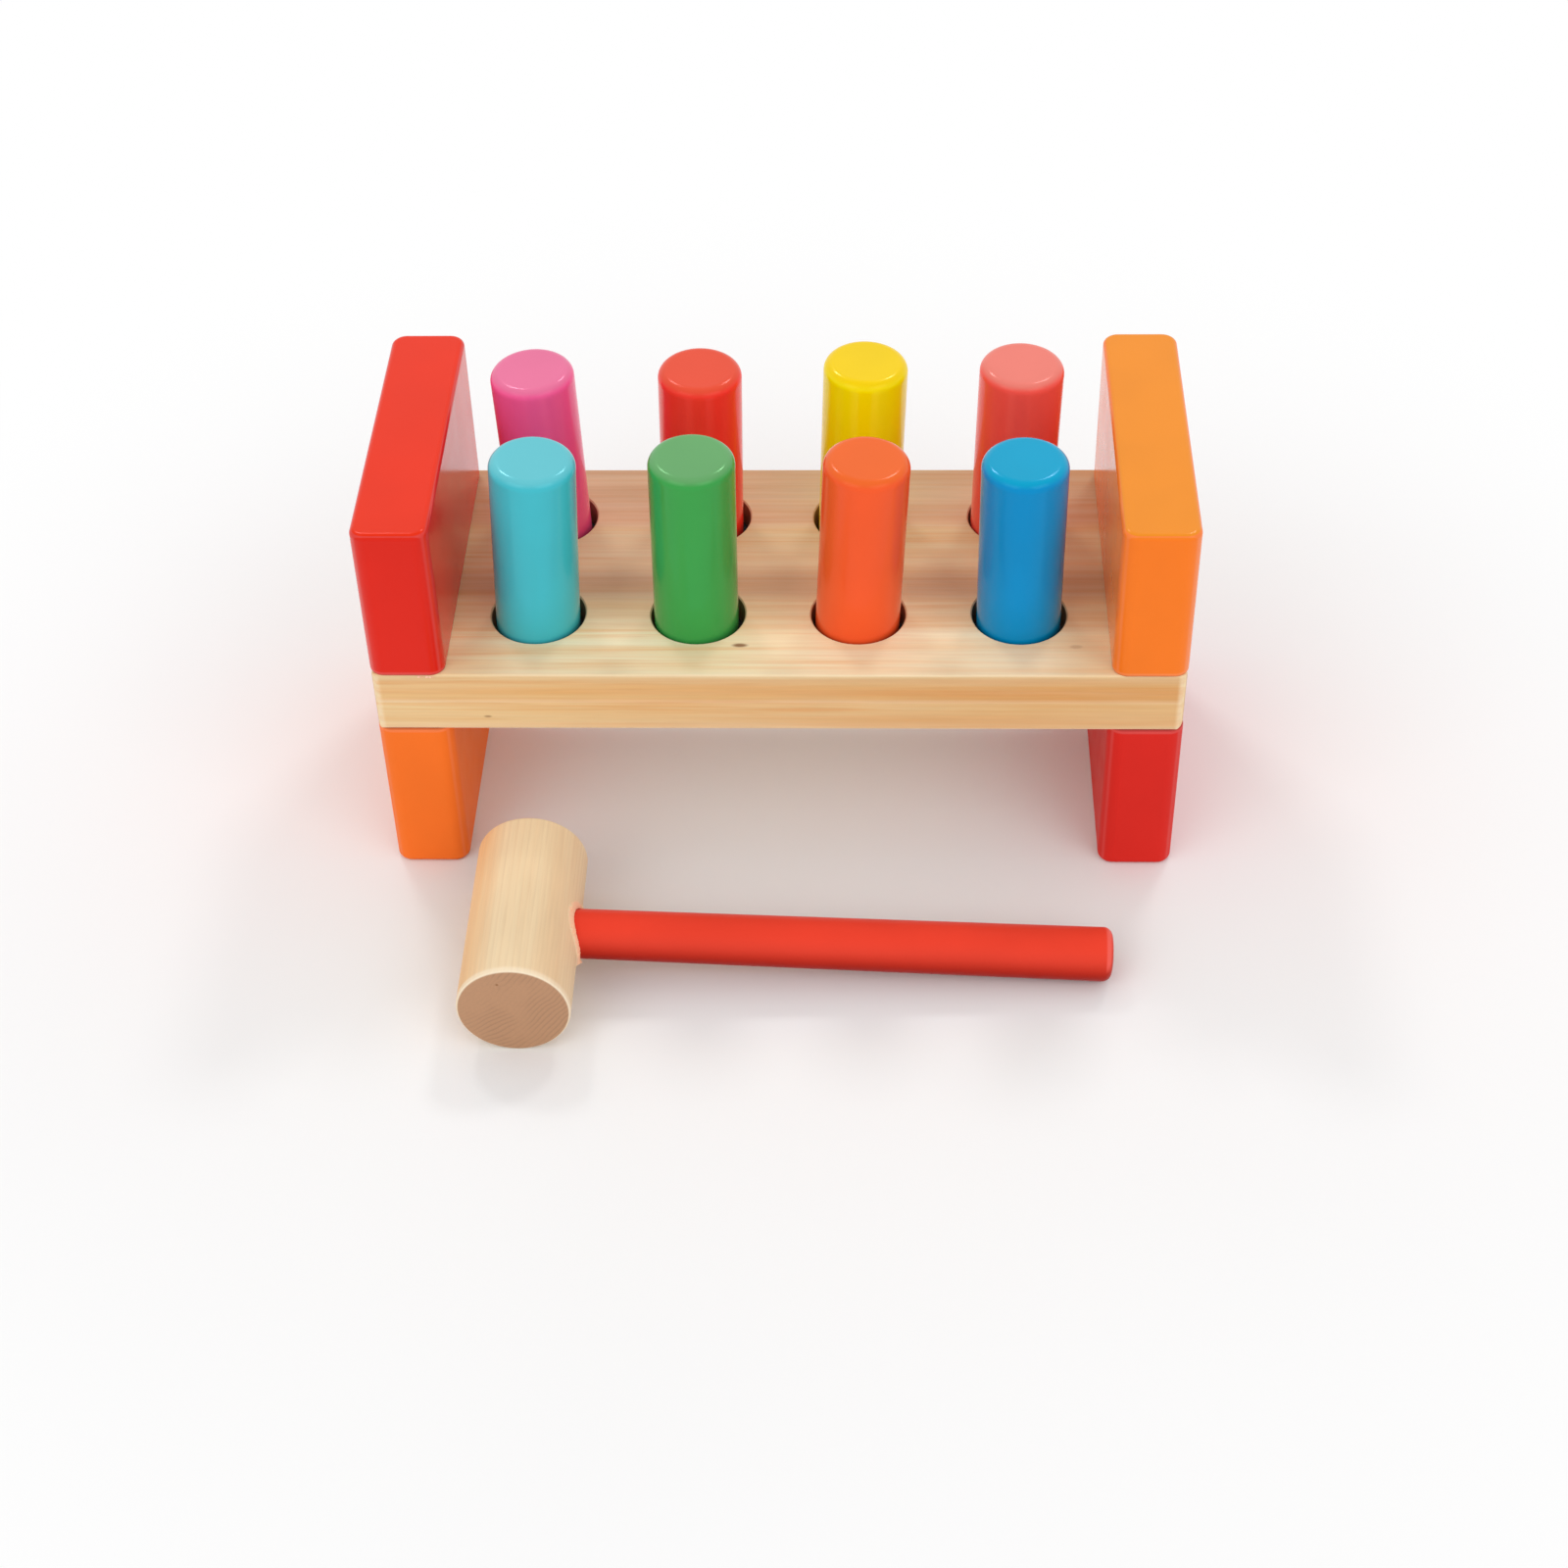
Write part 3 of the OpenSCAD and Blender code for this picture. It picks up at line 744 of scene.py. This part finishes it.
def studio_floor():
    mesh = bpy.data.meshes.new("floor")
    corners = [(x * FLOOR_REACH, y * FLOOR_REACH, 0.0) for x, y in ((-1, -1), (1, -1), (1, 1), (-1, 1))]
    mesh.from_pydata(corners, [], [(0, 1, 2, 3)])
    mesh.materials.append(floor_paint())
    floor = bpy.data.objects.new("floor", mesh)
    floor.location.z = -FLOOR_GAP
    bpy.context.scene.collection.objects.link(floor)


def softbox(name, place, size, power):
    """Rectangular soft light that looks at the bench."""
    data = bpy.data.lights.new(name, "AREA")
    data.shape = "RECTANGLE"
    data.size, data.size_y = size
    data.energy = power
    light = bpy.data.objects.new(name, data)
    bpy.context.scene.collection.objects.link(light)
    light.location = place
    light.rotation_mode = "QUATERNION"
    light.rotation_quaternion = (Vector(LIT_POINT) - Vector(place)).to_track_quat("-Z", "Y")


def studio_light():
    """Softboxes, and a world that is white to the eye but lights the object less."""
    for name, (place, size, power) in SOFTBOXES.items():
        softbox(name, place, size, power)
    world = bpy.data.worlds.new("studio")
    bpy.context.scene.world = world
    world.use_nodes = True
    background = world.node_tree.nodes["Background"]
    background.inputs["Color"].default_value = WHITE
    strength = world.node_tree.nodes.new("ShaderNodeMapRange")
    strength.inputs["To Min"].default_value = AMBIENT
    strength.inputs["To Max"].default_value = 1.0
    world.node_tree.links.new(seen_by_eye(world.node_tree), strength.inputs["Value"])
    world.node_tree.links.new(strength.outputs[0], background.inputs["Strength"])


def photo_camera():
    """Camera that sees the toy as the photograph does."""
    data = bpy.data.cameras.new("photo_camera")
    data.sensor_width = SENSOR_WIDTH
    data.lens = LENS
    data.clip_start = NEAREST_SEEN
    camera = bpy.data.objects.new("photo_camera", data)
    bpy.context.scene.collection.objects.link(camera)
    turn = Matrix.Rotation(CAMERA_YAW, 4, "Z")
    turn @= Matrix.Rotation(math.pi / 2 - CAMERA_PITCH, 4, "X")
    turn @= Matrix.Rotation(-CAMERA_ROLL, 4, "Z")
    camera.matrix_world = Matrix.Translation(CAMERA_PLACE) @ turn
    bpy.context.scene.camera = camera


bpy.context.scene.view_settings.view_transform = "Standard"
photo_camera()
finish_blocks()
finish_pegs()
finish_handle()
finish_grip_rings()
finish_deck()
set_finish("mallet_head", head_beech())
set_finish("block_dowels", dowel_birch())
bore_fibres()
paint_chips()
studio_floor()
studio_light()
